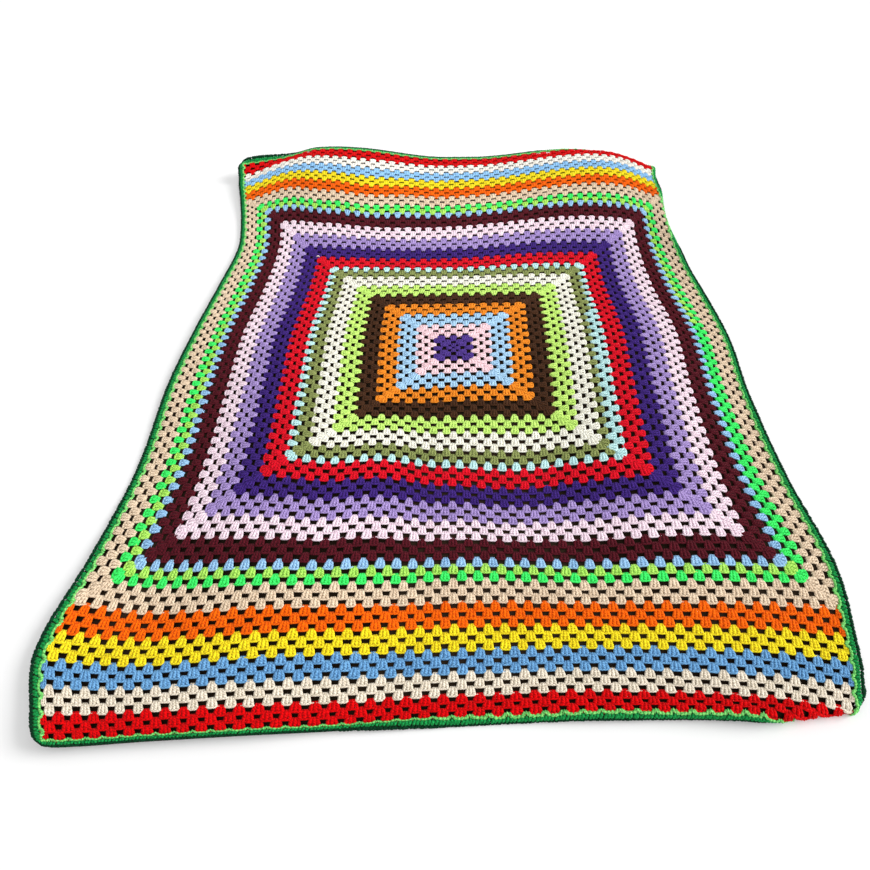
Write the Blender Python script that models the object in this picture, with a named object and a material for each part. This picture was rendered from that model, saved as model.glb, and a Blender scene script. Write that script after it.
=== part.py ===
"""Granny square blanket, laid out loosely on a flat surface and rumpled up at its far end.

The cloth is worked out flat, in crocheted rounds counted from the middle of the square, and is
then laid: a table of sections says how far each stretch lies from its flat place, swells and
ridges lift it off the surface, and three turned edges bend its rim down and under.
+X runs across the blanket, +Y along it to the far end, and the surface is at z = 0.
"""

import math
from collections import namedtuple

import bmesh
import bpy
import numpy as np

MM = 0.001
ROUND = 12.5 * MM  # height of one round or row, and half the pitch of its clusters
SQUARE = 45  # rounds from the middle of the square to its side
LENGTH = 60  # rounds from the middle of the square to the last end row
EDGING = 1.2  # width of the edging, in rounds
THICKNESS = 4 * MM  # a double-crochet cluster in thick acrylic yarn
GAP = 0.3 * MM  # between pieces that are crocheted together
PLAN_CENTRE = (-17.9 * MM, 41.6 * MM)  # middle of the laid outline, seen from the square's middle

# Grid steps, in rounds: coarse over the cloth, fine where its right-hand rim turns under.
COARSE_COLUMN = 3.5
FINE_COLUMN = 1.25
FINE_FROM = 25
SQUARE_ROW = 3.6
PANEL_ROW = 1.5
FINE_ROW = 0.75
FINE_ROWS_FROM = 54

# Swells and ridges, widest first: centre and reach in rounds, turn in degrees, lift in mm.
Swell = namedtuple("Swell", "name across along reach_across reach_along turn lift")
SWELLS = (
    Swell("far_swell", 0, 58, 78, 33, 0, 26),
    Swell("far_left_ridge", -26, 56, 25, 34, 0, 32),
    Swell("far_right_ridge", 29, 56, 24, 32, 0, 27),
    Swell("left_long_ridge", -22, -26, 18, 44, 4, 26),
    Swell("right_long_ridge", 29, -8, 17, 44, -6, 24),
    Swell("middle_swell", 4, 4, 30, 22, 0, 10),
    Swell("near_left_swell", -34, -64, 24, 18, 0, 14),
    Swell("near_right_swell", 22, -64, 24, 16, 0, 10),
    Swell("near_right_rise", 42, -60, 24, 14, 0, 18),
    Swell("far_right_rim", 49, 38, 10, 16, 0, 16),
    Swell("far_left_corner", -48, 63, 16, 9.5, 0, 26),
)

# How far the laid cloth lies from its flat place, in mm: one section of the cloth a row, far end
# first, with a value for each of seven stations across it.
STATIONS = (-46, -34, -18, 0, 18, 34, 46)  # rounds from the middle
Section = namedtuple("Section", "along shift_across shift_along")
SECTIONS = (
    Section(61, (-25, -30, -25, -10, 15, 15, -10), (5, 60, 50, 30, 40, 35, -15)),
    Section(54, (-10, -20, -20, -5, 15, 15, -20), (5, 50, 25, 25, 40, 45, -5)),
    Section(46, (10, -10, -15, -5, 15, 15, -20), (25, 60, 15, 25, 50, 55, 10)),
    Section(38, (30, 5, -5, 0, 10, 5, -30), (25, 40, 5, 15, 45, 35, -15)),
    Section(30, (50, 20, 5, 0, 5, -5, -35), (0, 5, -5, -5, 20, 5, -35)),
    Section(18, (40, 15, 5, 0, 0, -10, -25), (-5, -5, 0, -5, 0, -20, -35)),
    Section(4, (25, 0, -5, -5, 0, 0, -15), (10, 5, 0, 0, 5, -10, -15)),
    Section(-10, (15, 5, 0, -5, -5, -10, -25), (25, 15, -10, 10, 15, 5, 0)),
    Section(-26, (20, 5, 0, -10, -15, -15, -25), (30, 20, -10, 5, 5, 15, 0)),
    Section(-40, (0, -10, -10, -10, -15, -5, -10), (20, 5, 0, 15, 10, 15, 10)),
    Section(-50, (-25, -20, -10, -10, -20, -20, -35), (5, -5, 10, 25, 25, 20, 10)),
    Section(-61, (30, 15, 0, -15, -25, -50, -90), (20, 25, 35, 50, 55, 50, 30)),
)

# Small waves in the rounds, in mm along the blanket.
Wave = namedtuple("Wave", "across along reach_across reach_along shift")
WAVES = (
    Wave(-10, -24, 9, 20, 20),
    Wave(8, -27, 9, 14, -5),
)

# Rims that bend down and under: which edge, the middle and reach of the turned stretch along it
# and its depth there, all in rounds, and the radius of the bend in mm.
Turn = namedtuple("Turn", "name edge centre reach depth radius")
TURNS = (
    Turn("near_right_corner", "near", 50, 21, 4.4, 5),
    Turn("far_right_edge", "far", 32, 24, 2.2, 5),
    Turn("far_right_side", "right", 41, 15, 1.3, 5),
)
OUTWARDS = {"near": (0, -1), "far": (0, 1), "right": (1, 0)}

Finish = namedtuple("Finish", "colour roughness")
SQUARE_YARN = Finish((0.30, 0.10, 0.22), 0.9)
FAR_PANEL_YARN = Finish((0.85, 0.45, 0.10), 0.9)
NEAR_PANEL_YARN = Finish((0.90, 0.20, 0.04), 0.9)
EDGING_YARN = Finish((0.02, 0.25, 0.07), 0.9)

BLANKET = "granny_square_blanket"


def clear_scene():
    """Removes every object, so that the blanket is alone in the scene."""
    for old in list(bpy.data.objects):
        bpy.data.objects.remove(old, do_unlink=True)


def station_weights(places, stations):
    """Smooth interpolation weights of each place among rising stations: one row a place."""
    knots = np.asarray(stations, float)
    last = len(knots) - 1
    slopes = np.zeros((last + 1, last + 1))
    for index in range(last + 1):
        before = max(index - 1, 0)
        after = min(index + 1, last)
        slopes[index, before] -= 1 / (knots[after] - knots[before])
        slopes[index, after] += 1 / (knots[after] - knots[before])
    left = np.clip(np.searchsorted(knots, places) - 1, 0, last - 1)
    width = knots[left + 1] - knots[left]
    part = (places - knots[left]) / width
    rise = part * part * (3 - 2 * part)
    weights = slopes[left] * ((part**3 - 2 * part**2 + part) * width)[:, None]
    weights += slopes[left + 1] * ((part**3 - part**2) * width)[:, None]
    rows = np.arange(len(places))
    weights[rows, left] += 1 - rise
    weights[rows, left + 1] += rise
    return weights


def bump(across, along, centre, reach, turn=0.0):
    """A round-topped bump: one at its centre, and exactly nought past its reach."""
    angle = math.radians(turn)
    over = across - centre[0]
    up = along - centre[1]
    side = (over * math.cos(angle) + up * math.sin(angle)) / reach[0]
    way = (up * math.cos(angle) - over * math.sin(angle)) / reach[1]
    return np.clip(1 - side**2 - way**2, 0, None) ** 2


def laid_place(across, along):
    """Where flat places lie before any rim is turned, in metres from the square's middle."""
    sections = SECTIONS[::-1]
    by_section = station_weights(along, [row.along for row in sections])
    by_station = station_weights(across, STATIONS)
    shift_across = np.array([row.shift_across for row in sections], float)
    shift_along = np.array([row.shift_along for row in sections], float)
    x = across * ROUND + ((by_section @ shift_across) * by_station).sum(axis=1) * MM
    y = along * ROUND + ((by_section @ shift_along) * by_station).sum(axis=1) * MM
    z = np.zeros_like(x)
    for wave in WAVES:
        centre = (wave.across, wave.along)
        reach = (wave.reach_across, wave.reach_along)
        y += wave.shift * MM * bump(across, along, centre, reach)
    for swell in SWELLS:
        centre = (swell.across, swell.along)
        reach = (swell.reach_across, swell.reach_along)
        z += swell.lift * MM * bump(across, along, centre, reach, swell.turn)
    return np.stack([x, y, z], axis=1)


def past_bend(across, along, turn):
    """How far places lie past the start of a turned rim's bend, in rounds."""
    over, up = OUTWARDS[turn.edge]
    outward = across * over + along * up
    place = along if over else across
    side = (SQUARE if over else LENGTH) + EDGING
    nearness = np.clip(1 - ((place - turn.centre) / turn.reach) ** 2, 0, None)
    return np.clip(outward - side + turn.depth * nearness**2, 0, None)


def draped(across, along):
    """The underside of the laid cloth at flat places given in rounds, in metres."""
    foot_across = across.copy()
    foot_along = along.copy()
    bend = np.zeros((len(across), 3))
    for turn in TURNS:
        past = past_bend(across, along, turn)
        over, up = OUTWARDS[turn.edge]
        foot_across -= past * over
        foot_along -= past * up
        radius = turn.radius * MM
        angle = np.clip(past * ROUND / radius, 0, math.pi)
        beyond = np.clip(past * ROUND - math.pi * radius, 0, None)
        outward = radius * np.sin(angle) - beyond
        bend[:, 0] += outward * over
        bend[:, 1] += outward * up
        bend[:, 2] -= radius * (1 - np.cos(angle))
    place = laid_place(foot_across, foot_along) + bend
    place[:, :2] -= PLAN_CENTRE
    return place


def upper_side(across, along):
    """The laid cloth's upper side: its underside raised along the surface's normal."""
    step = 0.05
    slope_across = draped(across + step, along) - draped(across - step, along)
    slope_along = draped(across, along + step) - draped(across, along - step)
    normal = np.cross(slope_across, slope_along)
    normal /= np.linalg.norm(normal, axis=1)[:, None]
    return draped(across, along) + THICKNESS * normal


def even_lines(start, end, step):
    """Grid lines from start up to, but not at, end."""
    count = round((end - start) / step)
    return [start + (end - start) * index / count for index in range(count)]


def column_lines():
    """Grid lines across the square and the end panels."""
    return even_lines(-SQUARE, FINE_FROM, COARSE_COLUMN) + even_lines(
        FINE_FROM, SQUARE, FINE_COLUMN
    ) + [SQUARE]


def square_rows():
    """Grid lines along the square."""
    return even_lines(-SQUARE, SQUARE, SQUARE_ROW) + [SQUARE]


def far_rows():
    """Grid lines along the far panel."""
    return even_lines(SQUARE, LENGTH, PANEL_ROW) + [LENGTH]


def near_rows():
    """Grid lines along the near panel, finer towards the end that turns under."""
    return (
        even_lines(-LENGTH, -FINE_ROWS_FROM, FINE_ROW)
        + even_lines(-FINE_ROWS_FROM, -SQUARE, PANEL_ROW)
        + [-SQUARE]
    )


def rim_lines(inner, outer):
    """Grid lines across a strip of edging, lower one first."""
    return sorted([inner, (inner + outer) / 2, outer])


def inset(lines):
    """Grid lines with their two ends drawn in by half the gap between pieces."""
    drawn = list(lines)
    drawn[0] += GAP / 2 / ROUND
    drawn[-1] -= GAP / 2 / ROUND
    return drawn


def add_material(name, finish):
    """A plain yarn material for one piece."""
    material = bpy.data.materials.new(name)
    material.use_nodes = True
    shader = material.node_tree.nodes["Principled BSDF"]
    shader.inputs["Base Color"].default_value = (*finish.colour, 1)
    shader.inputs["Roughness"].default_value = finish.roughness
    shader.inputs["Metallic"].default_value = 0
    return material


def add_cloth(name, columns, rows, finish, collection):
    """One crocheted piece: a flat grid laid on the drape, with its thickness above it."""
    columns = inset(columns)
    rows = inset(rows)
    sheet = bmesh.new()
    bmesh.ops.create_grid(
        sheet,
        x_segments=len(columns) - 1,
        y_segments=len(rows) - 1,
        size=0.5,
    )
    lower = list(sheet.verts)
    column_of = [round((vert.co.x + 0.5) * (len(columns) - 1)) for vert in lower]
    row_of = [round((vert.co.y + 0.5) * (len(rows) - 1)) for vert in lower]
    across = np.array([columns[index] for index in column_of])
    along = np.array([rows[index] for index in row_of])
    for vert, top in zip(lower, upper_side(across, along)):
        vert.co = top
    made = bmesh.ops.extrude_face_region(sheet, geom=sheet.faces[:], use_keep_orig=True)
    under = [item for item in made["geom"] if isinstance(item, bmesh.types.BMVert)]
    under_of = {vert.co.copy().freeze(): vert for vert in under}
    for vert, bottom in zip(lower, draped(across, along)):
        under_of[vert.co.copy().freeze()].co = bottom
    bmesh.ops.recalc_face_normals(sheet, faces=sheet.faces)
    bmesh.ops.triangulate(sheet, faces=sheet.faces)
    mesh = bpy.data.meshes.new(name)
    sheet.to_mesh(mesh)
    sheet.free()
    mesh.materials.append(add_material(name, finish))
    piece = bpy.data.objects.new(name, mesh)
    collection.objects.link(piece)
    return piece


def build():
    """Makes the square, the two end panels and the four runs of edging."""
    clear_scene()
    collection = bpy.data.collections.new(BLANKET)
    bpy.context.scene.collection.children.link(collection)
    side = SQUARE + EDGING
    end = LENGTH + EDGING
    columns = column_lines()
    left_rim = rim_lines(-SQUARE, -side)
    right_rim = rim_lines(SQUARE, side)
    near_rim = rim_lines(-LENGTH, -end)
    far_rim = rim_lines(LENGTH, end)
    inner_rows = near_rows()[:-1] + square_rows() + far_rows()[1:]
    side_rows = near_rim[:-1] + inner_rows + far_rim[1:]
    add_cloth("centre_square", columns, square_rows(), SQUARE_YARN, collection)
    add_cloth("end_panel_far", columns, far_rows(), FAR_PANEL_YARN, collection)
    add_cloth("end_panel_near", columns, near_rows(), NEAR_PANEL_YARN, collection)
    add_cloth("edging_left", left_rim, side_rows, EDGING_YARN, collection)
    add_cloth("edging_right", right_rim, side_rows, EDGING_YARN, collection)
    add_cloth("edging_far", columns, far_rim, EDGING_YARN, collection)
    add_cloth("edging_near", columns, near_rim, EDGING_YARN, collection)


build()
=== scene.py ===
"""Looks of a granny square blanket: every cluster, end row and edging stitch, laid on the drape.

A stitch is modelled once, as a few strands of yarn, in a frame of its own: across the row and
outward in rounds, and up from the cloth's underside in millimetres. It is then repeated round by
round, in the yarn of each round, and the drape carries it to its place on the surface.
"""

import logging
import math
from dataclasses import dataclass, field, fields
from enum import Enum

import bmesh
import bpy
import numpy as np
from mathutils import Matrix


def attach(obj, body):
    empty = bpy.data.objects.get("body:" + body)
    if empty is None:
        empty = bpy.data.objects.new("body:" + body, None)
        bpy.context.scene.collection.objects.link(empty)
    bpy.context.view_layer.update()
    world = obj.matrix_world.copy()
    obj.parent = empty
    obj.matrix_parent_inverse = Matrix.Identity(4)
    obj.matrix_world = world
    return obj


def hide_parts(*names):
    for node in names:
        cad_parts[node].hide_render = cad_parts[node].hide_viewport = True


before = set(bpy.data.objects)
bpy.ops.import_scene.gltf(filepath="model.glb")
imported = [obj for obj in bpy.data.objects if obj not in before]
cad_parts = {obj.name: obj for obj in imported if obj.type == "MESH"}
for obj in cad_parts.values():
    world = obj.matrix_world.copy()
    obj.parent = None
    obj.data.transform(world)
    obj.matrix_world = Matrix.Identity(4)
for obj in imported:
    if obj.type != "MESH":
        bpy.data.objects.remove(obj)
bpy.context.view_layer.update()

log = logging.getLogger("granny_square_blanket")

MM = 0.001
ROUND_MM = 12.5  # height of one round or row, and half the pitch of its clusters
ROUND = ROUND_MM * MM
SQUARE = 45  # rounds from the middle of the square to its side
LENGTH = 60  # rounds from the middle of the square to the last end row
EDGING = 1.2  # width of the edging, in rounds
APEX = 1.31  # rounds from a cluster's outer edge in to the space that its posts wrap
PLAN_CENTRE = (-17.9 * MM, 41.6 * MM)  # middle of the laid outline, from the square's middle
CLEARANCE = 0.2 * MM  # least height of any yarn above the floor
CHART = "strand_map"
TONE = "tone"


class Side(Enum):
    """A side of the blanket, with the quarter turns that carry the far side to it."""

    FAR = 0
    RIGHT = 1
    NEAR = 2
    LEFT = 3

    @property
    def angle(self) -> float:
        """The side's turn from the far side, clockwise from above, in radians."""
        return self.value * math.pi / 2


def linear(hex_colour: str) -> tuple[float, float, float, float]:
    """Turns an sRGB hex colour into a linear colour.

    Args:
        hex_colour: The colour, as #rrggbb.

    Returns:
        Linear red, green, blue and an alpha of 1.
    """
    parts = [int(hex_colour[place : place + 2], 16) / 255 for place in (1, 3, 5)]
    return (*(p / 12.92 if p <= 0.04045 else ((p + 0.055) / 1.055) ** 2.4 for p in parts), 1.0)


def fill(node: bpy.types.Node, inputs: dict[object, object]) -> None:
    """Sets a node's inputs by name or index, and links those whose value is an output."""
    for key, value in inputs.items():
        if isinstance(value, bpy.types.NodeSocket):
            node.id_data.links.new(value, node.inputs[key])
        else:
            node.inputs[key].default_value = value


def add_node(
    tree: bpy.types.NodeTree,
    kind: str,
    settings: dict[str, object] | None = None,
    inputs: dict[object, object] | None = None,
) -> bpy.types.Node:
    """Adds a node with its settings and its inputs.

    Args:
        tree: The material's node tree.
        kind: The node's type.
        settings: Properties of the node, by name.
        inputs: A value, or an output to link, for each input by name or index.

    Returns:
        The new node.
    """
    made = tree.nodes.new(kind)
    for name, value in (settings or {}).items():
        setattr(made, name, value)
    fill(made, inputs or {})
    return made


def reckon(tree: bpy.types.NodeTree, operation: str, *values: object) -> bpy.types.NodeSocket:
    """Adds a node for one operation on one or two values, and returns what it gives."""
    settings = {"operation": operation}
    return add_node(tree, "ShaderNodeMath", settings, dict(enumerate(values))).outputs[0]


def add_object(name: str, data: bpy.types.ID) -> bpy.types.Object:
    """Adds an object to the scene, at the origin."""
    made = bpy.data.objects.new(name, data)
    bpy.context.scene.collection.objects.link(made)
    return made


# ---- Finishes ----


@dataclass(frozen=True)
class AcrylicYarn:
    """Worsted acrylic yarn, plied and slightly fuzzy: dull, with a soft bloom on its edges.

    Two turns of the yarn wrap each post of a cluster, and each is spun from fine plies. The
    grooves between them are painted darker than the crowns, as shade, and the fibres speckle both.
    """

    name: str
    light: str  # the yarn's own colour, on the lit crowns of the strands
    deep: str  # painted shade in the grooves between them
    wraps: int = 2  # turns of yarn side by side round a post
    lay_mm: float = 4.5  # length of one turn along the post
    ply_mm: float = 2.4  # length of one fine ply, drawn coarser than life so that it shows
    fibre_mm: float = 2.2  # size of the speckle that loose fibres make
    plies: int = -5  # fine plies round a strand, laid against the turn of the wraps
    groove_shade_mix: tuple[float, float] = (0.6, 1.05)  # painted shade: share of the light colour, groove to crown
    fibre_span: tuple[float, float] = (0.38, 0.62)  # part of the fibre noise that shows
    fibre_mix: tuple[float, float] = (0.42, 1.34)  # what it multiplies that share by
    tone_mix: tuple[float, float] = (0.86, 1.08)  # the same from stitch to stitch
    relief: tuple[float, float, float] = (0.5, 0.12, 1.2)  # of wraps, plies and fibres
    relief_mm: float = 0.5  # depth of a relief of one
    roughness: float = 0.9
    ior: float = 1.49  # acrylic
    specular: float = 0.05  # loose fibres scatter nearly all of the gloss
    sheen: float = 0.02
    sheen_roughness: float = 0.6

    def material(self) -> bpy.types.Material:
        """Makes the material, or returns the one already made.

        Returns:
            The material, named for the yarn.
        """
        title = f"worsted acrylic yarn, {self.name}"
        found = bpy.data.materials.get(title)
        if found:
            return found
        made = bpy.data.materials.new(title)
        made.use_nodes = True
        tree = made.node_tree
        chart = add_node(tree, "ShaderNodeUVMap", {"uv_map": CHART}).outputs["UV"]
        place = add_node(tree, "ShaderNodeTexCoord").outputs["Object"]
        tone = add_node(tree, "ShaderNodeAttribute", {"attribute_name": TONE}).outputs["Fac"]
        turn = self._ridges(tree, chart, self.wraps, 1 / self.lay_mm)
        ply = self._ridges(tree, chart, self.plies, 1 / self.ply_mm)
        fibre = add_node(
            tree,
            "ShaderNodeTexNoise",
            {},
            {"Vector": place, "Scale": 1 / (self.fibre_mm * MM), "Detail": 2.0, "Roughness": 0.6},
        ).outputs["Fac"]
        # Painted shade: the grooves between the wraps are mixed towards the deep colour, then
        # speckled and toned
        groove_shade = self._ranged(tree, turn, (-1, 1), self.groove_shade_mix)
        speckle = self._ranged(tree, fibre, self.fibre_span, self.fibre_mix)
        mottle = self._ranged(tree, tone, (0, 1), self.tone_mix)
        shade_and_speckle = reckon(tree, "MULTIPLY", reckon(tree, "MULTIPLY", groove_shade, speckle), mottle)
        colour = add_node(
            tree,
            "ShaderNodeMix",
            {"data_type": "RGBA", "clamp_factor": True},
            {0: shade_and_speckle, 6: linear(self.deep), 7: linear(self.light)},
        ).outputs[2]
        wraps, plies, fibres = (
            reckon(tree, "MULTIPLY", value, share)
            for value, share in zip((turn, ply, fibre), self.relief)
        )
        height = reckon(tree, "ADD", wraps, reckon(tree, "ADD", plies, fibres))
        bump = add_node(
            tree,
            "ShaderNodeBump",
            {},
            {"Height": height, "Distance": self.relief_mm * MM, "Strength": 1.0},
        )
        looks = {
            "Base Color": colour,
            "Normal": bump.outputs["Normal"],
            "Roughness": self.roughness,
            "IOR": self.ior,
            "Specular IOR Level": self.specular,
            "Sheen Weight": self.sheen,
            "Sheen Roughness": self.sheen_roughness,
        }
        fill(tree.nodes["Principled BSDF"], looks)
        return made

    @staticmethod
    def _ridges(
        tree: bpy.types.NodeTree, chart: bpy.types.NodeSocket, turns: float, per_mm: float
    ) -> bpy.types.NodeSocket:
        """Ridges that run round a strand like a screw thread.

        Args:
            tree: The material's node tree.
            chart: The strand map: turns round the strand, and millimetres along it.
            turns: Ridges met in one turn round the strand.
            per_mm: Ridges met in one millimetre along it.

        Returns:
            A value from -1 in the grooves to 1 on the crowns.
        """
        phase = add_node(
            tree,
            "ShaderNodeVectorMath",
            {"operation": "DOT_PRODUCT"},
            {0: chart, 1: (turns, per_mm, 0)},
        ).outputs["Value"]
        return reckon(tree, "SINE", reckon(tree, "MULTIPLY", phase, 2 * math.pi))

    @staticmethod
    def _ranged(
        tree: bpy.types.NodeTree,
        value: bpy.types.NodeSocket,
        old: tuple[float, float],
        new: tuple[float, float],
    ) -> bpy.types.NodeSocket:
        """The value moved from its old range to a new one, and held inside it."""
        ends = {"From Min": old[0], "From Max": old[1], "To Min": new[0], "To Max": new[1]}
        moved = add_node(tree, "ShaderNodeMapRange", {"clamp": True}, {"Value": value, **ends})
        return moved.outputs["Result"]


@dataclass(frozen=True)
class PlainSurface:
    """A plain matt surface: the pale floor, and the near-black sheet of painted shade under the
    blanket.
    """

    name: str
    colour: str
    roughness: float = 0.9

    def material(self) -> bpy.types.Material:
        """Makes the material."""
        made = bpy.data.materials.new(self.name)
        made.use_nodes = True
        looks = {"Base Color": linear(self.colour), "Roughness": self.roughness}
        fill(made.node_tree.nodes["Principled BSDF"], {**looks, "Specular IOR Level": 0.0})
        return made


# Each yarn: its own colour on the lit crowns, then a darker colour that is painted shade in the
# grooves.
PURPLE = AcrylicYarn("purple", "#5c4299", "#2a1858")
PINK = AcrylicYarn("pink", "#ffe4ea", "#c98f98")
SKY = AcrylicYarn("sky blue", "#bce1f9", "#5c8cba")
ORANGE = AcrylicYarn("orange", "#fd992a", "#a04a08")
BROWN = AcrylicYarn("dark brown", "#4e301c", "#1c0e08")
LIME = AcrylicYarn("lime", "#d8fe84", "#6f9c34")
CREAM = AcrylicYarn("cream", "#fffff4", "#b0a88c")
OLIVE = AcrylicYarn("olive", "#99a462", "#434a22")
AQUA = AcrylicYarn("aqua", "#d2f4f2", "#5ca4ac")
RED = AcrylicYarn("red", "#ee1028", "#7c0410")
INDIGO = AcrylicYarn("indigo", "#462a84", "#180a3c")
LAVENDER = AcrylicYarn("lavender", "#b69fd8", "#604a8c")
PALE_PINK = AcrylicYarn("pale pink", "#fdecf4", "#b890a8")
MAROON = AcrylicYarn("maroon", "#5c1622", "#22040a")
LIGHT_BLUE = AcrylicYarn("light blue", "#a6d2f4", "#4878a8")
LIME_GREEN = AcrylicYarn("yellow green", "#bcf46e", "#529220")
BRIGHT_GREEN = AcrylicYarn("bright green", "#48ff74", "#18a03a")
BEIGE = AcrylicYarn("beige", "#f2dcc0", "#94785a")
END_ORANGE = AcrylicYarn("deep orange", "#ff7006", "#b43200")
END_YELLOW = AcrylicYarn("yellow", "#ffec28", "#ac8804")
END_BLUE = AcrylicYarn("mid blue", "#78b0de", "#28588c")
FAR_BLUE = AcrylicYarn("pale blue", "#a2d4fa", "#4c80b4")
END_CREAM = AcrylicYarn("off white", "#f6ead8", "#a09478")
FAR_CREAM = AcrylicYarn("white", "#fffdf6", "#b8ac98")
END_RED = AcrylicYarn("scarlet", "#e80208", "#780000")
EDGE_MINT = AcrylicYarn("mint green", "#8ce67c", "#2c8c40")
EDGE_GREEN = AcrylicYarn("emerald green", "#1c9c4c", "#02401c")
EDGE_DARK = AcrylicYarn("bottle green", "#063c22", "#010e08")
TAIL_WHITE = AcrylicYarn("off white tail", "#f4ece4", "#b8a898")

PALE_FLOOR = PlainSurface("matt white painted floor", "#eaeaea")
# Painted shade: a near-black sheet laid just under the cloth, so the gaps between the clusters
# look dark.
PAINTED_SHADE_SHEET = PlainSurface("painted shade under the blanket", "#2c2219")


# ---- The laid shape ----


@dataclass(frozen=True)
class Swell:
    """A swell or ridge: centre and reach in rounds, turn in degrees, lift in millimetres."""

    across: float
    along: float
    reach_across: float
    reach_along: float
    turn: float
    lift: float

    def height(self, across: np.ndarray, along: np.ndarray) -> np.ndarray:
        """Its height at flat places, in metres: round-topped, and nought past its reach."""
        angle = math.radians(self.turn)
        over = across - self.across
        up = along - self.along
        side = (over * math.cos(angle) + up * math.sin(angle)) / self.reach_across
        way = (up * math.cos(angle) - over * math.sin(angle)) / self.reach_along
        return self.lift * MM * np.clip(1 - side**2 - way**2, 0, None) ** 2


@dataclass(frozen=True)
class Section:
    """How far one section of the cloth lies from its flat place, in millimetres."""

    along: float
    shift_across: tuple[float, ...]
    shift_along: tuple[float, ...]


@dataclass(frozen=True)
class Turn:
    """A rim that bends down and under: which one, its bends, and how tight in millimetres.

    Each bend is its centre along the rim, its reach either way and its depth, in rounds.
    """

    outwards: tuple[int, int]
    bends: tuple[tuple[float, float, float], ...]
    radius: float


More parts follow.
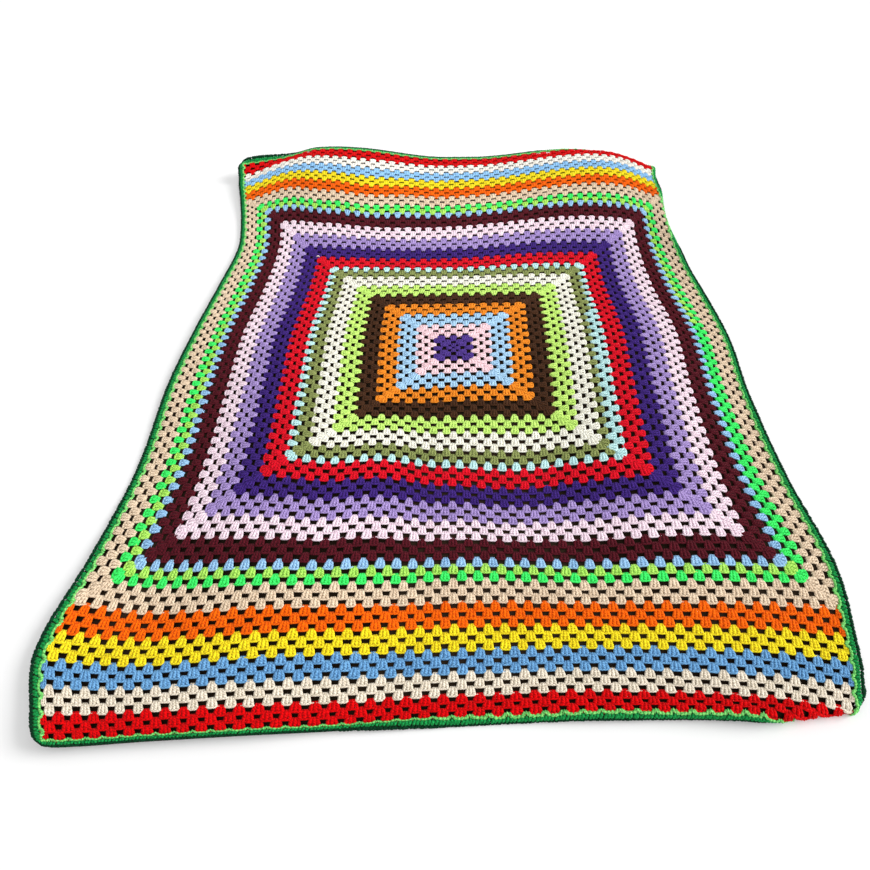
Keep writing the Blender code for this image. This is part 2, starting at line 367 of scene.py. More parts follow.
@dataclass(frozen=True)
class Drape:
    """The laid shape of the cloth.

    It starts from the CAD model's shape. Its far end is drawn in by up to 22 mm, its left rim is
    raised a little, and its rims turn under further at the near and far right.
    """

    stations: tuple[float, ...] = (-46, -34, -18, 0, 18, 34, 46)
    sections: tuple[Section, ...] = (
        Section(61, (-25, -30, -25, -10, 15, 15, -10), (-12, 38, 40, 26, 31, 35, -20)),
        Section(54, (-10, -20, -20, -5, 15, 15, -27), (-2, 43, 14, 21, 35, 42, -2)),
        Section(46, (10, -10, -15, -5, 15, 15, -29), (18, 53, 5, 20, 45, 52, 10)),
        Section(38, (30, 5, -5, 0, 10, 5, -39), (25, 37, -4, 8, 41, 32, -15)),
        Section(30, (50, 20, 5, 0, 5, -5, -38), (0, 5, -8, -11, 17, 5, -35)),
        Section(18, (40, 15, 5, 0, 0, -10, -25), (-5, -5, -5, -8, -4, -20, -35)),
        Section(4, (25, 0, -5, -5, 0, 0, -15), (10, 5, 0, -4, 5, -10, -15)),
        Section(-10, (15, 5, 0, -5, -5, -10, -25), (25, 15, -10, 7, 10, 5, 0)),
        Section(-26, (20, 9, 3, -10, -15, -12, -23), (30, 20, -8, 1, 3, 15, 0)),
        Section(-40, (5, -8, -10, -10, -15, -3, -10), (20, 1, -4, 12, 8, 13, 10)),
        Section(-50, (-13, -17, -10, -10, -20, -20, -35), (1, -6, 5, 17, 21, 16, 1)),
        Section(-57, (20, 4, -4, -13, -23, -39, -69), (1, 7, 18, 31, 37, 28, 11)),
        Section(-61, (43, 19, 0, -15, -25, -50, -90), (8, 18, 30, 45, 53, 52, 26)),
    )
    swells: tuple[Swell, ...] = (
        Swell(0, 58, 78, 33, 0, 26),
        Swell(-26, 56, 25, 34, 0, 32),
        Swell(29, 56, 24, 32, 0, 27),
        Swell(-22, -26, 18, 44, 4, 26),
        Swell(29, -8, 17, 44, -6, 24),
        Swell(4, 4, 30, 22, 0, 10),
        Swell(-34, -64, 24, 18, 0, 14),
        Swell(22, -64, 24, 16, 0, 10),
        Swell(42, -60, 24, 14, 0, 18),
        Swell(49, 38, 10, 16, 0, 16),
        Swell(-48, 63, 16, 9.5, 0, 26),
        Swell(4, -66, 34, 14, 0, 8),
        Swell(-37, 61, 9, 6, 0, -11),
        Swell(-43, 57, 6, 4, 0, -8),
        Swell(-40, 63, 12, 3.2, 0, 30),
        Swell(-51, -54, 13, 30, 0, 16),
        Swell(-51, 10, 13, 48, 0, 9),
    )
    waves: tuple[Swell, ...] = (  # small waves in the rounds, shifted along the blanket
        Swell(-10, -24, 9, 20, 0, 17),
        Swell(8, -27, 9, 14, 0, -9),
        Swell(-9, 44, 8, 12, 0, 12),
        Swell(-28, 42, 6, 12, 0, -10),
    )
    corner: float = 2.6  # radius of the worked corners, in rounds
    turns: tuple[Turn, ...] = (
        Turn((0, -1), ((50, 18, 5.2), (34, 20, 1.2), (8, 32, 1.4)), 7),
        Turn((0, 1), ((36, 24, 2.4),), 5),
        Turn((1, 0), ((60, 14, 1.1), (41, 12, 1.3), (30, 22, 0.5), (-59, 5.5, 2.2)), 5),
    )

    @staticmethod
    def _weights(places: np.ndarray, stations: tuple[float, ...]) -> np.ndarray:
        """Smooth interpolation weights of places among rising stations.

        Args:
            places: Where the values are wanted.
            stations: Where they are known.

        Returns:
            One row of weights a place, one column a station.
        """
        knots = np.asarray(stations, float)
        last = len(knots) - 1
        slopes = np.zeros((last + 1, last + 1))
        for index in range(last + 1):
            before = max(index - 1, 0)
            after = min(index + 1, last)
            slopes[index, before] -= 1 / (knots[after] - knots[before])
            slopes[index, after] += 1 / (knots[after] - knots[before])
        left = np.clip(np.searchsorted(knots, places) - 1, 0, last - 1)
        width = knots[left + 1] - knots[left]
        part = (places - knots[left]) / width
        rise = part * part * (3 - 2 * part)
        weights = slopes[left] * ((part**3 - 2 * part**2 + part) * width)[:, None]
        weights += slopes[left + 1] * ((part**3 - part**2) * width)[:, None]
        rows = np.arange(len(places))
        weights[rows, left] += 1 - rise
        weights[rows, left + 1] += rise
        return weights

    def _rounded(self, across: np.ndarray, along: np.ndarray) -> tuple[np.ndarray, np.ndarray]:
        """Flat places moved so that the four corners are round.

        Args:
            across: Flat places across the blanket, in rounds.
            along: Flat places along it, in rounds.

        Returns:
            The moved places, across and along.
        """
        over = np.abs(across) - (SQUARE + EDGING - self.corner)
        up = np.abs(along) - (LENGTH + EDGING - self.corner)
        inside = (over > 0) & (up > 0)
        most = 1.2  # keeps the roots real for stitches that reach past the rim
        share_over = np.clip(over / self.corner, 0, most)
        share_up = np.clip(up / self.corner, 0, most)
        back_over = over * (1 - np.sqrt(1 - share_up**2 / 2))
        back_up = up * (1 - np.sqrt(1 - share_over**2 / 2))
        return (
            across - np.where(inside, np.sign(across) * back_over, 0),
            along - np.where(inside, np.sign(along) * back_up, 0),
        )

    def _laid(self, across: np.ndarray, along: np.ndarray) -> np.ndarray:
        """Where flat places lie before any rim is turned.

        Args:
            across: Flat places across the blanket, in rounds.
            along: Flat places along it, in rounds.

        Returns:
            Points in metres, from the square's middle.
        """
        across, along = self._rounded(across, along)
        rows = self.sections[::-1]
        by_section = self._weights(along, tuple(row.along for row in rows))
        by_station = self._weights(across, self.stations)
        shift_across = np.array([row.shift_across for row in rows], float)
        shift_along = np.array([row.shift_along for row in rows], float)
        x = across * ROUND + ((by_section @ shift_across) * by_station).sum(axis=1) * MM
        y = along * ROUND + ((by_section @ shift_along) * by_station).sum(axis=1) * MM
        z = np.zeros_like(x)
        for wave in self.waves:
            y += wave.height(across, along)
        for swell in self.swells:
            z += swell.height(across, along)
        return np.stack([x, y, z], axis=1)

    def underside(self, across: np.ndarray, along: np.ndarray) -> np.ndarray:
        """The underside of the laid cloth.

        Args:
            across: Flat places across the blanket, in rounds.
            along: Flat places along it, in rounds.

        Returns:
            Points in metres.
        """
        foot_across = across.copy()
        foot_along = along.copy()
        bend = np.zeros((len(across), 3))
        for turn in self.turns:
            over, up = turn.outwards
            place = along if over else across
            side = (SQUARE if over else LENGTH) + EDGING
            depth = sum(
                deep * np.clip(1 - ((place - centre) / reach) ** 2, 0, None) ** 2
                for centre, reach, deep in turn.bends
            )
            past = np.clip(across * over + along * up - side + depth, 0, None)
            foot_across -= past * over
            foot_along -= past * up
            radius = turn.radius * MM
            angle = np.clip(past * ROUND / radius, 0, math.pi)
            outward = radius * np.sin(angle) - np.clip(past * ROUND - math.pi * radius, 0, None)
            bend[:, 0] += outward * over
            bend[:, 1] += outward * up
            bend[:, 2] -= radius * (1 - np.cos(angle))
        place = self._laid(foot_across, foot_along) + bend
        place[:, :2] -= PLAN_CENTRE
        return place

    def raised(self, across: np.ndarray, along: np.ndarray, height: np.ndarray) -> np.ndarray:
        """Points above the cloth's underside, held just clear of the surface it lies on.

        Args:
            across: Flat places across the blanket, in rounds.
            along: Flat places along it, in rounds.
            height: Height above the underside, in millimetres.

        Returns:
            Points in metres.
        """
        step = 0.05  # rounds, either way
        slope_across = self.underside(across + step, along) - self.underside(across - step, along)
        slope_along = self.underside(across, along + step) - self.underside(across, along - step)
        normal = np.cross(slope_across, slope_along)
        normal /= np.linalg.norm(normal, axis=1)[:, None]
        place = self.underside(across, along) + normal * height[:, None] * MM
        place[:, 2] = np.maximum(place[:, 2], CLEARANCE)
        return place


# ---- Stitches ----


@dataclass(frozen=True)
class Pattern:
    """A stitch ready to be repeated, or copies of it once they are laid.

    points are across and outward in rounds, and up in millimetres, or laid points in metres.
    corners lists the point of each face corner, sizes the corners of each face, and chart each
    corner's place on its strand: turns round it, and millimetres along it.
    """

    points: np.ndarray
    corners: np.ndarray
    sizes: np.ndarray
    chart: np.ndarray

    @classmethod
    def joined(cls, parts: list["Pattern"]) -> "Pattern":
        """Several patterns as one."""
        starts = np.cumsum([0] + [len(part.points) for part in parts[:-1]])
        return cls(
            np.concatenate([part.points for part in parts]),
            np.concatenate([part.corners + start for part, start in zip(parts, starts)]),
            np.concatenate([part.sizes for part in parts]),
            np.concatenate([part.chart for part in parts]),
        )


@dataclass(frozen=True)
class Strand:
    """A closed length of yarn: across and outward in rounds, up in mm, and its radius in mm."""

    stops: tuple[tuple[float, float, float, float], ...]
    sides: int = 5
    squash: float = 0.0  # share by which it is wider, and lower, than a round strand

    def pattern(self) -> Pattern:
        """Models the strand: a cone primitive cut into rings, each set at its own stop.

        Returns:
            The strand as a pattern.
        """
        last = len(self.stops) - 1
        tube = bmesh.new()
        bmesh.ops.create_cone(
            tube, cap_ends=True, segments=self.sides, radius1=1, radius2=1, depth=last
        )
        for ring in range(1, last):
            bmesh.ops.bisect_plane(
                tube,
                geom=tube.verts[:] + tube.edges[:] + tube.faces[:],
                plane_co=(0, 0, ring - last / 2),
                plane_no=(0, 0, 1),
            )
        tube.verts.ensure_lookup_table()
        ring_of = [round(vert.co.z + last / 2) for vert in tube.verts]
        angle_of = [math.atan2(vert.co.y, vert.co.x) for vert in tube.verts]
        middles = np.array([stop[:3] for stop in self.stops]) * (ROUND_MM, ROUND_MM, 1)
        radii = [stop[3] for stop in self.stops]
        way = np.gradient(middles, axis=0)
        way /= np.linalg.norm(way, axis=1)[:, None]
        beside = np.cross((0, 0, 1), way)
        beside /= np.linalg.norm(beside, axis=1)[:, None]
        above = np.cross(way, beside)
        run = np.concatenate([[0], np.cumsum(np.linalg.norm(np.diff(middles, axis=0), axis=1))])
        for vert, ring, angle in zip(tube.verts, ring_of, angle_of):
            out = (1 + self.squash) * math.cos(angle) * beside[ring]
            out += (1 - self.squash) * math.sin(angle) * above[ring]
            vert.co = middles[ring] + radii[ring] * out
        bmesh.ops.recalc_face_normals(tube, faces=tube.faces)
        chart = []
        for face in tube.faces:
            start = angle_of[face.loops[0].vert.index]
            for corner in face.loops:
                index = corner.vert.index
                swing = (angle_of[index] - start + math.pi) % (2 * math.pi) - math.pi
                chart.append(((start + swing) / (2 * math.pi), run[ring_of[index]]))
        made = Pattern(
            np.array([vert.co for vert in tube.verts]) / (ROUND_MM, ROUND_MM, 1),
            np.array([corner.vert.index for face in tube.faces for corner in face.loops]),
            np.array([len(face.loops) for face in tube.faces]),
            np.array(chart),
        )
        tube.free()
        return made


@dataclass(frozen=True)
class Cluster:
    """Three double crochets in one space: posts that fan out to a chain over their ends."""

    post_offsets: tuple[float, ...] = (0.14, 0.31, 0.4, 0.46)
    post_stops: tuple[float, ...] = (-APEX, -0.94, -0.42, 0.0)  # from the space they wrap
    post_radii: tuple[float, ...] = (1.5, 2.05, 2.15, 2.1)
    post_heights: tuple[float, ...] = (1.4, 1.9, 2.1, 1.9)
    squash: float = 0.22  # a post is two turns of yarn side by side, so it is wider than tall
    middle_rise: float = 0.4  # the middle post stands proud of the other two, in millimetres
    chain: Strand = Strand(
        (
            (-1.02, -0.1, 1.4, 1.4),
            (-0.6, -0.06, 1.9, 1.5),
            (-0.2, 0.01, 2.9, 1.6),
            (0.2, 0.01, 2.9, 1.6),
            (0.6, -0.06, 1.9, 1.5),
            (1.02, -0.1, 1.4, 1.4),
        ),
        sides=4,
        squash=0.3,
    )

    def post(self, place: int) -> Strand:
        """One post: the left, middle or right one for a place of -1, 0 or 1."""
        rise = 0 if place else self.middle_rise
        stops = zip(self.post_offsets, self.post_stops, self.post_heights, self.post_radii)
        line = tuple((place * over, out, high + rise, wide) for over, out, high, wide in stops)
        return Strand(line, squash=self.squash)

    def pattern(self) -> Pattern:
        """Models the three posts and the chain over their outer ends."""
        strands = [*(self.post(place) for place in (-1, 0, 1)), self.chain]
        return Pattern.joined([strand.pattern() for strand in strands])


@dataclass
class Places:
    """Where copies of a stitch go.

    across and along are the copies' origins in rounds, and angle turns the outward way clockwise
    from the far one. corner is -1 or 1 for a cluster that leans into a corner on that hand, half
    the same for one that is only worked on the blanket's side of its middle. length and width are
    shares of the stitch's own.
    """

    across: np.ndarray
    along: np.ndarray
    angle: np.ndarray
    corner: np.ndarray
    half: np.ndarray
    length: np.ndarray
    width: np.ndarray

    @classmethod
    def on_side(
        cls,
        side: Side,
        centres: np.ndarray,
        row: float,
        corner: np.ndarray | float = 0.0,
        half: np.ndarray | float = 0.0,
        length: np.ndarray | float = 1.0,
        width: float = 1.0,
    ) -> "Places":
        """Places in one row on one side of the blanket.

        Args:
            side: The side.
            centres: Places along the row in rounds, clockwise positive.
            row: The row's outer edge, in rounds from the middle.
            corner: Which copies lean into a corner.
            half: Which copies are half clusters.
            length: Length of the stitch, as a share of the whole.
            width: Its width, the same way.

        Returns:
            The places.
        """
        centres = np.asarray(centres, float)
        none = np.zeros(len(centres))
        turn = none + side.angle
        return cls(
            centres * np.cos(turn) + row * np.sin(turn),
            row * np.cos(turn) - centres * np.sin(turn),
            turn,
            none + corner,
            none + half,
            none + length,
            none + width,
        )

    @classmethod
    def joined(cls, parts: list["Places"]) -> "Places":
        """Several sets of places as one."""
        names = [each.name for each in fields(cls)]
        return cls(*(np.concatenate([getattr(part, name) for part in parts]) for name in names))

    def chosen(self, mask: np.ndarray) -> "Places":
        """The places that a mask picks out."""
        return Places(*(getattr(self, each.name)[mask] for each in fields(self)))

    def __len__(self) -> int:
        """How many places there are."""
        return len(self.across)


@dataclass(frozen=True)
class Hand:
    """How unevenly the stitches are worked: the first four are the most a copy is off by."""

    shift: float = 0.05  # in rounds
    turn: float = 4.0  # in degrees
    size: float = 0.05  # as a share of its width
    height: float = 0.35  # in millimetres
    tallness: float = 0.4  # how far its length is off, as a share of how far its width is
    pivot: float = -0.7  # where along its length it turns, in rounds
    least_height: float = 0.1  # of its middle line above the underside, in millimetres
    chart_slide: float = 40  # how far its strand map may slide along the strand, in millimetres


@dataclass(frozen=True)
class Lean:
    """How a cluster in a corner, or a half one at the end of a row, departs from a plain one."""

    spread: float = 0.12  # share by which a corner cluster is wider at its outer edge
    out: float = 0.08  # rounds towards the corner at its outer edge
    back: float = 0.25  # rounds away from the corner at the space it wraps
    half_width: float = 0.55  # width of a half cluster, as a share
    half_shift: float = 0.32  # rounds from its place in to the middle of the row


@dataclass
class Fabric:
    """Stitches gathered for one piece, to be made as one mesh."""

    name: str
    drape: Drape
    seed: int
    hand: Hand = Hand()
    lean: Lean = Lean()
    laid: list[Pattern] = field(default_factory=list)
    yarns: list[AcrylicYarn] = field(default_factory=list)
    tones: list[np.ndarray] = field(default_factory=list)

    def work(self, pattern: Pattern, places: Places, finish: AcrylicYarn) -> None:
        """Repeats a stitch at each place, a little unevenly, and lays it on the drape.

        Args:
            pattern: The stitch.
            places: Where the copies go.
            finish: Their yarn.
        """
        count = len(places)
        chance = np.random.default_rng(self.seed + len(self.laid))
        uneven = chance.uniform(-1, 1, (6, count, 1))
        across, outward, height = (pattern.points[None, :, axis] for axis in range(3))
        hand, lean = self.hand, self.lean
        corner = places.corner[:, None]
        half = places.half[:, None]
        rise = np.clip((outward + APEX) / APEX, 0, 1)
        tilt = lean.out * rise - lean.back * (1 - rise)
        leaning = across * (1 + lean.spread * rise) + corner * tilt
        across = np.where(corner != 0, leaning, across * np.ones_like(corner))
        across = np.where(half != 0, across * lean.half_width - half * lean.half_shift, across)
        across = across * places.width[:, None] * (1 + hand.size * uneven[0])
        outward = outward * places.length[:, None] * (1 + hand.tallness * hand.size * uneven[1])
        swing = np.radians(hand.turn) * uneven[2]
        beyond = outward - hand.pivot
        across, outward = (
            across * np.cos(swing) + beyond * np.sin(swing),
            beyond * np.cos(swing) - across * np.sin(swing) + hand.pivot,
        )
        across = across + hand.shift * uneven[3]
        outward = outward + hand.shift * uneven[4]
        height = np.maximum(height + hand.height * uneven[5], hand.least_height)
        turn = places.angle[:, None]
        u = places.across[:, None] + across * np.cos(turn) + outward * np.sin(turn)
        v = places.along[:, None] + outward * np.cos(turn) - across * np.sin(turn)
        height = np.broadcast_to(height, u.shape)
        offsets = np.arange(count)[:, None] * len(pattern.points)
        slide = chance.uniform(0, hand.chart_slide, (count, 1, 1)) * np.array([0.0, 1.0])
        copies = Pattern(
            self.drape.raised(u.ravel(), v.ravel(), height.ravel()),
            (pattern.corners[None] + offsets).ravel(),
            np.tile(pattern.sizes, count),
            (pattern.chart[None] + slide).reshape(-1, 2),
        )
        self.laid.append(copies)
        self.yarns.append(finish)
        self.tones.append(np.repeat(chance.uniform(0, 1, count), len(pattern.points)))

    def piece(self) -> bpy.types.Object:
        """Makes the gathered stitches one object.

        Returns:
            The object, at the origin, with its yarns.
        """
        whole = Pattern.joined(self.laid)
        finishes = list(dict.fromkeys(self.yarns))
        slots = np.repeat(
            [finishes.index(yarn) for yarn in self.yarns], [len(part.sizes) for part in self.laid]
        )
        mesh = bpy.data.meshes.new(self.name)
        mesh.vertices.add(len(whole.points))
        mesh.vertices.foreach_set("co", whole.points.astype(np.float32).ravel())
        mesh.loops.add(len(whole.corners))
        mesh.loops.foreach_set("vertex_index", whole.corners.astype(np.int32))
        mesh.polygons.add(len(whole.sizes))
        starts = np.concatenate([[0], np.cumsum(whole.sizes)[:-1]])
        mesh.polygons.foreach_set("loop_start", starts.astype(np.int32))
        mesh.polygons.foreach_set("use_smooth", np.ones(len(whole.sizes), bool))
        mesh.polygons.foreach_set("material_index", slots.astype(np.int32))
        mesh.update(calc_edges=True)
        chart = mesh.uv_layers.new(name=CHART)
        chart.data.foreach_set("uv", whole.chart.astype(np.float32).ravel())
        tone = mesh.attributes.new(TONE, "FLOAT", "POINT")
        tone.data.foreach_set("value", np.concatenate(self.tones).astype(np.float32))
        for finish in finishes:
            mesh.materials.append(finish.material())
        mesh.validate()
        return add_object(self.name, mesh)


# ---- The blanket ----


@dataclass(frozen=True)
class Stripe:
    """Rounds worked in one yarn, from the first to the last."""

    name: str
    yarn: AcrylicYarn
    first: int
    last: int


@dataclass(frozen=True)
class Change:
    """Part of a round that is worked in the next stripe's yarn."""

    round: int
    side: Side
    start: float
    end: float
    stripe: str


@dataclass
class GrannySquare:
    """The large square: rounds of clusters, with two clusters in each corner."""

    drape: Drape
    node: str = "centre_square"
    slot: str = "square_yarn"
    cluster: Cluster = Cluster()
    stripes: tuple[Stripe, ...] = (
        Stripe("purple", PURPLE, 1, 3),
        Stripe("pink", PINK, 4, 6),
        Stripe("sky_blue", SKY, 7, 9),
        Stripe("orange", ORANGE, 10, 12),
        Stripe("brown", BROWN, 13, 15),
        Stripe("lime", LIME, 16, 18),
        Stripe("cream", CREAM, 19, 21),
        Stripe("olive", OLIVE, 22, 23),
        Stripe("aqua", AQUA, 24, 24),
        Stripe("red", RED, 25, 27),
        Stripe("indigo", INDIGO, 28, 30),
        Stripe("lavender", LAVENDER, 31, 33),
        Stripe("pale_pink", PALE_PINK, 34, 36),
        Stripe("maroon", MAROON, 37, 39),
        Stripe("light_blue", LIGHT_BLUE, 40, 40),
        Stripe("yellow_green", LIME_GREEN, 41, 41),
        Stripe("bright_green", BRIGHT_GREEN, 42, 42),
        Stripe("beige", BEIGE, 43, 45),
    )
    changes: tuple[Change, ...] = (  # as if a yarn ran out on the way round
        Change(23, Side.RIGHT, -8, 23, "aqua"),
        Change(41, Side.RIGHT, -7, 39, "bright_green"),
    )
    tail_stripe: str = "red"  # the yarn end shows at this stripe's far left corner
    tail: Strand = Strand(  # a short loose end of yarn
        (
            (-0.28, -0.12, 4.6, 1.1),
            (-0.1, -0.02, 5.8, 1.5),
            (0.1, 0.02, 5.8, 1.5),
            (0.26, -0.08, 4.4, 1.0),
        )
    )
    tighter: float = 0.3  # share by which the first round is worked tighter than the last
    first_length: float = 0.62  # of the first round's clusters, as a share of the usual length
    first_seed: int = 100

    def stripe_places(self) -> list[Places]:
        """Every cluster of the square, gathered by the stripe whose yarn it is worked in."""
        gathered: dict[str, list[Places]] = {stripe.name: [] for stripe in self.stripes}
        for stripe in self.stripes:
            for number in range(stripe.first, stripe.last + 1):
                centres = 2 * np.arange(number) - (number - 1)
                corner = np.sign(centres) * (np.abs(centres) == number - 1)
                snug = 1 - self.tighter / number
                length = self.first_length if number == 1 else snug
                for side in Side:
                    places = Places.on_side(
                        side, centres, number, corner=corner, length=length, width=snug
                    )
                    kept = np.ones(number, bool)
                    for change in self.changes:
                        if change.round == number and change.side is side:
                            moved = (centres >= change.start) & (centres <= change.end)
                            gathered[change.stripe].append(places.chosen(moved))
                            kept &= ~moved
                    gathered[stripe.name].append(places.chosen(kept))
        return [Places.joined(parts) for parts in gathered.values()]

    def build(self) -> list[bpy.types.Object]:
        """Works every stripe in its yarn, and returns one piece a stripe."""
        pattern = self.cluster.pattern()
        pieces = []
        for index, (stripe, places) in enumerate(zip(self.stripes, self.stripe_places())):
            fabric = Fabric(f"square_{stripe.name}", self.drape, self.first_seed + index)
            fabric.work(pattern, places, stripe.yarn)
            if stripe.name == self.tail_stripe:
                corner = Places.on_side(Side.FAR, [-stripe.last], stripe.last)
                fabric.work(self.tail.pattern(), corner, TAIL_WHITE)
            rounds = stripe.last - stripe.first + 1
            worked = (2 * len(places) - 4 * rounds) * ROUND**2
            flat = (rounds * ROUND, worked / (rounds * ROUND))
            if stripe.first == 1:
                flat = (2 * stripe.last * ROUND,) * 2
            pieces.append(finish_piece(fabric.piece(), flat, [self.node]))
        return pieces


@dataclass
class EndPanel:
    """Rows of clusters worked onto one end of the square, with a half cluster at each end."""

    drape: Drape
    side: Side
    node: str
    slot: str
    cluster: Cluster = Cluster()
    names: tuple[str, ...] = ("orange", "yellow", "blue", "off_white", "scarlet")
    yarns: tuple[AcrylicYarn, ...] = (END_ORANGE, END_YELLOW, END_BLUE, END_CREAM, END_RED)
    widths: tuple[float, ...] = (1.04, 1.02, 1.05, 1.0, 1.14)  # of the clusters in each stripe
    rows: int = 3  # in each stripe
    first_seed: int = 300
    seeds_a_side: int = 50

    def row_places(self, number: int, width: float) -> Places:
        """The clusters of one row, counted in rounds from the square's middle."""
        first = SQUARE - number % 2  # odd rows start a round in from the side
        centres = np.arange(-first, first + 1, 2)
        half = np.where(np.abs(centres) == SQUARE, np.sign(centres), 0)
        return Places.on_side(self.side, centres, number, half=half, width=width)

    def build(self) -> list[bpy.types.Object]:
        """Works every stripe in its yarn, and returns one piece a stripe."""
        pattern = self.cluster.pattern()
        end = self.side.name.lower()
        pieces = []
        for index, (name, yarn) in enumerate(zip(self.names, self.yarns)):
            seed = self.first_seed + self.seeds_a_side * self.side.value + index
            fabric = Fabric(f"{end}_{name}", self.drape, seed)
            first = SQUARE + 1 + self.rows * index
            numbers = range(first, first + self.rows)
            places = [self.row_places(number, self.widths[index]) for number in numbers]
            fabric.work(pattern, Places.joined(places), yarn)
            flat = (self.rows * ROUND, 2 * SQUARE * ROUND)
            pieces.append(finish_piece(fabric.piece(), flat, [self.node]))
        return pieces


@dataclass
class Edging:
    """Rows of single crochet worked round everything: a fringe of loops, ribs and a dark rim."""

    drape: Drape
    slot: str = "edging_yarn"
    pitch: float = 0.4  # rounds, so 5 mm a stitch and five to a cluster
    rim: tuple[float, ...] = (0.12, 0.1, 0.06, -0.34, 0.06, 0.1, 0.12)  # line of the inner row
    worked: float = 1.6  # rounds: depth of the three rows pulled out flat, which overlap here
    rib: Strand = Strand(  # a single crochet, seen as one slanted rib
        (
            (-0.12, 0.1, 2.4, 1.7),
            (-0.04, 0.34, 3.2, 2.1),
            (0.06, 0.58, 3.2, 2.1),
            (0.1, 0.76, 2.4, 1.8),
        ),
        squash=0.15,
    )
    bead: Strand = Strand(  # one link of the dark chain that finishes the rim
        (
            (-0.23, 0.88, 2.4, 1.9),
            (-0.08, 0.96, 2.9, 2.3),
            (0.08, 1.0, 2.6, 2.3),
            (0.23, 0.95, 2.0, 1.9),
        ),
        squash=0.25,
    )
    hand: Hand = Hand(shift=0.03, turn=3, size=0.06, height=0.2)
    depths: tuple[float, ...] = (0.92, 1.0, 0.62, 1.0)  # of each side: the ends are tighter
    fan: tuple[float, ...] = (15, 45, 75)  # degrees that the stitches in a corner turn by
    first_seed: int = 600

    def loop(self, start: float, middle: float, end: float) -> Pattern:
        """One stitch of the inner row, with its places in rounds out from the clusters' rim."""
        line = ((-0.22, start, 3.4, 1.4), (0.0, middle, 4.4, 1.8), (0.22, end, 3.4, 1.4))
        return Strand(line, sides=4, squash=0.3).pattern()

    def run_places(self, side: Side) -> Places:
        """The stitches along one side, with the corners worked on the two ends.

        Args:
            side: The side.

        Returns:
            The places, each with its origin on the rim of the clusters.
        """
        across = side in (Side.FAR, Side.NEAR)
        reach, row = (SQUARE, LENGTH) if across else (LENGTH, SQUARE)
        count = round(2 * reach / self.pitch)
        centres = (np.arange(count) + 0.5) * 2 * reach / count - reach
        depth = self.depths[side.value]
        straight = Places.on_side(side, centres, row, length=depth)
        if not across:
            return straight
        fans = [straight]
        for end in (-1, 1):
            swing = np.array(self.fan)
            lengths = depth + (1 - depth) * swing / 90
            fan = Places.on_side(side, np.full(len(swing), end * reach), row, length=lengths)
            fan.angle = fan.angle + end * np.radians(swing)
            fans.append(fan)
        return Places.joined(fans)

    def build(self) -> list[bpy.types.Object]:
        """Works the edging of each side, and returns one piece a side."""
        pieces = []
        for side in Side:
            run = side.name.lower()
            seed = self.first_seed + side.value
            fabric = Fabric(f"edging_{run}_stitches", self.drape, seed, self.hand)
            places = self.run_places(side)
            count = len(self.rim) - 2  # stitches to a cluster, the third of them over a gap
            turn = np.arange(len(places)) % count
            for index in range(count):
                loop = self.loop(*self.rim[index : index + 3])
                fabric.work(loop, places.chosen(turn == index), EDGE_MINT)
            fabric.work(self.rib.pattern(), places, EDGE_GREEN)
            fabric.work(self.bead.pattern(), places, EDGE_DARK)
            flat = (self.worked * ROUND, len(places) * self.pitch * ROUND)
            pieces.append(finish_piece(fabric.piece(), flat, [f"edging_{run}"]))
        return pieces


def finish_piece(
    piece: bpy.types.Object, flat: tuple[float, float], nodes: list[str]
) -> bpy.types.Object:
    """Ties a piece to its body, hides the CAD nodes it stands for, and logs its flat size.

    Args:
        piece: The piece.
        flat: Its depth and worked length when flat, in metres.
        nodes: The CAD nodes that it stands for.

    Returns:
        The piece.
    """
    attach(piece, "root")
    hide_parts(*nodes)
    log.info("%s: %d faces, flat %.4f x %.4f m", piece.name, len(piece.data.polygons), *flat)
    return piece


# ---- The studio ----


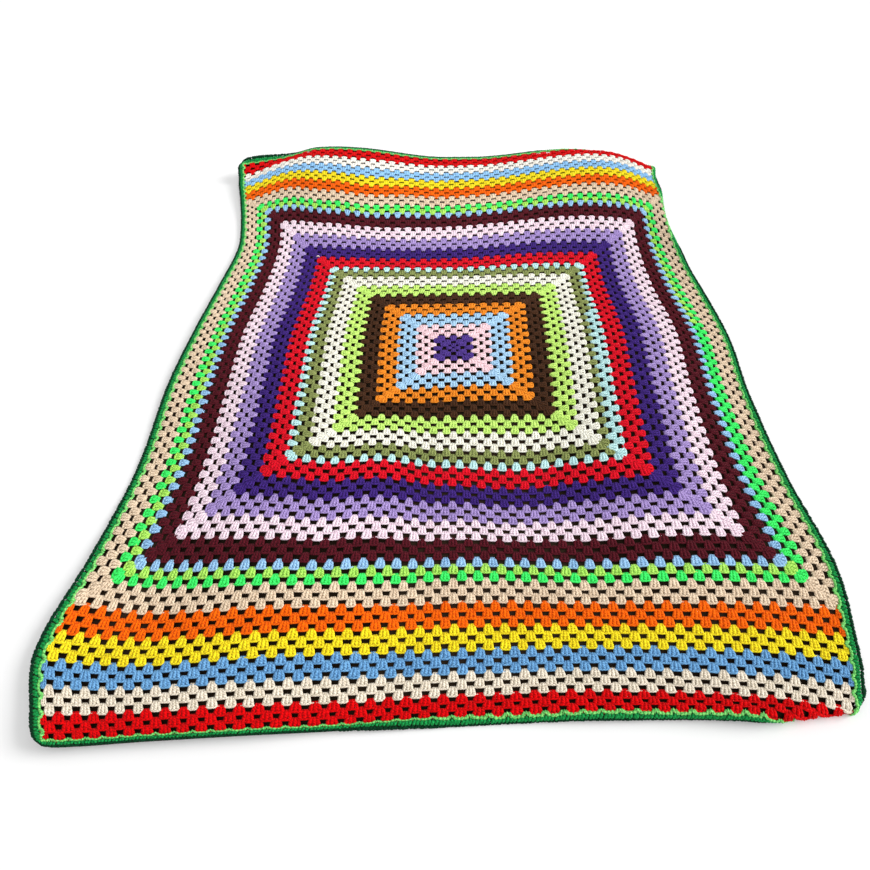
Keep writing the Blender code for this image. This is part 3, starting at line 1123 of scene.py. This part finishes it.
@dataclass
class Studio:
    """A pale floor, soft light from above and the right, and the camera at the near end."""

    drape: Drape
    floor_side: float = 14.0
    camera_place: tuple[float, float, float] = (-0.0015, -0.9932, 0.8494)
    camera_turn: tuple[float, float, float] = (40.61, 0.93, 0.57)  # degrees
    lens: float = 25.65
    surround: float = 0.58  # strength of the even white light
    ground_rims: tuple[float, ...] = (1.15, 0.55, 0.95, 1.04)  # rounds past left, near, right, far
    ground_depth: float = 5.0  # millimetres below the cloth, where it is raised
    ground_least: float = 0.1  # least height of the shade sheet above the floor, in millimetres

    def add_floor(self) -> None:
        """Lays the floor, and a near-black sheet just under the cloth: painted shade that the gaps
        between the clusters show.
        """
        sheet = bmesh.new()
        bmesh.ops.create_grid(sheet, x_segments=1, y_segments=1, size=self.floor_side / 2)
        self._stage("floor", sheet, PALE_FLOOR)
        # Painted shade: a near-black sheet that follows the cloth's underside a few millimetres
        # below it.
        ground = bmesh.new()
        bmesh.ops.create_grid(ground, x_segments=100, y_segments=130, size=1)
        left, near, right, far = self.ground_rims
        side = np.array([vert.co.x for vert in ground.verts])
        way = np.array([vert.co.y for vert in ground.verts])
        across = side * (SQUARE + np.where(side < 0, left, right))
        along = way * (LENGTH + np.where(way < 0, near, far))
        for vert, place in zip(ground.verts, self.drape.underside(across, along)):
            height = max(place[2] - self.ground_depth * MM, self.ground_least * MM)
            vert.co = (place[0], place[1], height)
        self._stage("ground", ground, PAINTED_SHADE_SHEET)

    @staticmethod
    def _stage(name: str, sheet: bmesh.types.BMesh, finish: PlainSurface) -> None:
        """Makes an object of the studio from a bmesh, with its finish."""
        mesh = bpy.data.meshes.new(name)
        sheet.to_mesh(mesh)
        sheet.free()
        mesh.materials.append(finish.material())
        made = add_object(name, mesh)

    def add_light(self) -> None:
        """Lights the scene: a white surround, a key from the right, a fill and a softbox."""
        world = bpy.data.worlds.new("white surround")
        bpy.context.scene.world = world
        world.use_nodes = True
        white = {"Color": (1, 1, 1, 1), "Strength": self.surround}
        fill(world.node_tree.nodes["Background"], white)
        self._hang("key", "SUN", tilt=(-8, 64), energy=2.85, angle=math.radians(30))
        self._hang("fill", "SUN", tilt=(36, 0), energy=1.2, angle=math.radians(70))
        self._hang(
            "softbox",
            "SPOT",
            tilt=(24, 0),
            height=1.7,
            energy=22,
            shadow_soft_size=0.3,
            spot_size=math.radians(60),
            spot_blend=1.0,
        )

    @staticmethod
    def _hang(
        name: str, kind: str, tilt: tuple[float, float], height: float = 0.0, **settings: float
    ) -> None:
        """Hangs a lamp over the middle.

        Args:
            name: The lamp's name.
            kind: Its type.
            tilt: Degrees from overhead that it shines, from the near end and from the right.
            height: Its height in metres, which a sun has no need of.
            settings: Its other properties, by name.
        """
        lamp = bpy.data.lights.new(name, kind)
        for setting, value in settings.items():
            setattr(lamp, setting, value)
        made = add_object(name, lamp)
        made.location = (0, 0, height)
        made.rotation_euler = (math.radians(tilt[0]), math.radians(tilt[1]), 0)

    def add_camera(self) -> None:
        """Stands the camera at the near end, looking down the blanket."""
        data = bpy.data.cameras.new("camera")
        data.lens = self.lens
        data.sensor_width = 36
        data.clip_start = 0.05
        data.clip_end = 50
        camera = add_object("camera", data)
        camera.location = self.camera_place
        camera.rotation_euler = [math.radians(turn) for turn in self.camera_turn]
        bpy.context.scene.camera = camera

    def build(self) -> None:
        """Sets up the floor, the light, the camera and plain tones."""
        self.add_floor()
        self.add_light()
        self.add_camera()
        bpy.context.scene.view_settings.view_transform = "Standard"


def main() -> None:
    """Builds the studio and every piece of the blanket, and reports each one."""
    logging.basicConfig(level=logging.INFO, format="%(message)s")
    drape = Drape()
    Studio(drape).build()
    pieces = GrannySquare(drape).build()
    far_panel = EndPanel(drape, Side.FAR, "end_panel_far", "far_panel_yarn")
    far_panel.yarns = (END_ORANGE, END_YELLOW, FAR_BLUE, FAR_CREAM, END_RED)
    far_panel.widths = (1.0,) * len(far_panel.yarns)
    pieces += far_panel.build()
    pieces += EndPanel(drape, Side.NEAR, "end_panel_near", "near_panel_yarn").build()
    pieces += Edging(drape).build()
    faces = sum(len(piece.data.polygons) for piece in pieces)
    log.info("%d pieces, %d faces", len(pieces), faces)


if __name__ == "__main__":
    main()
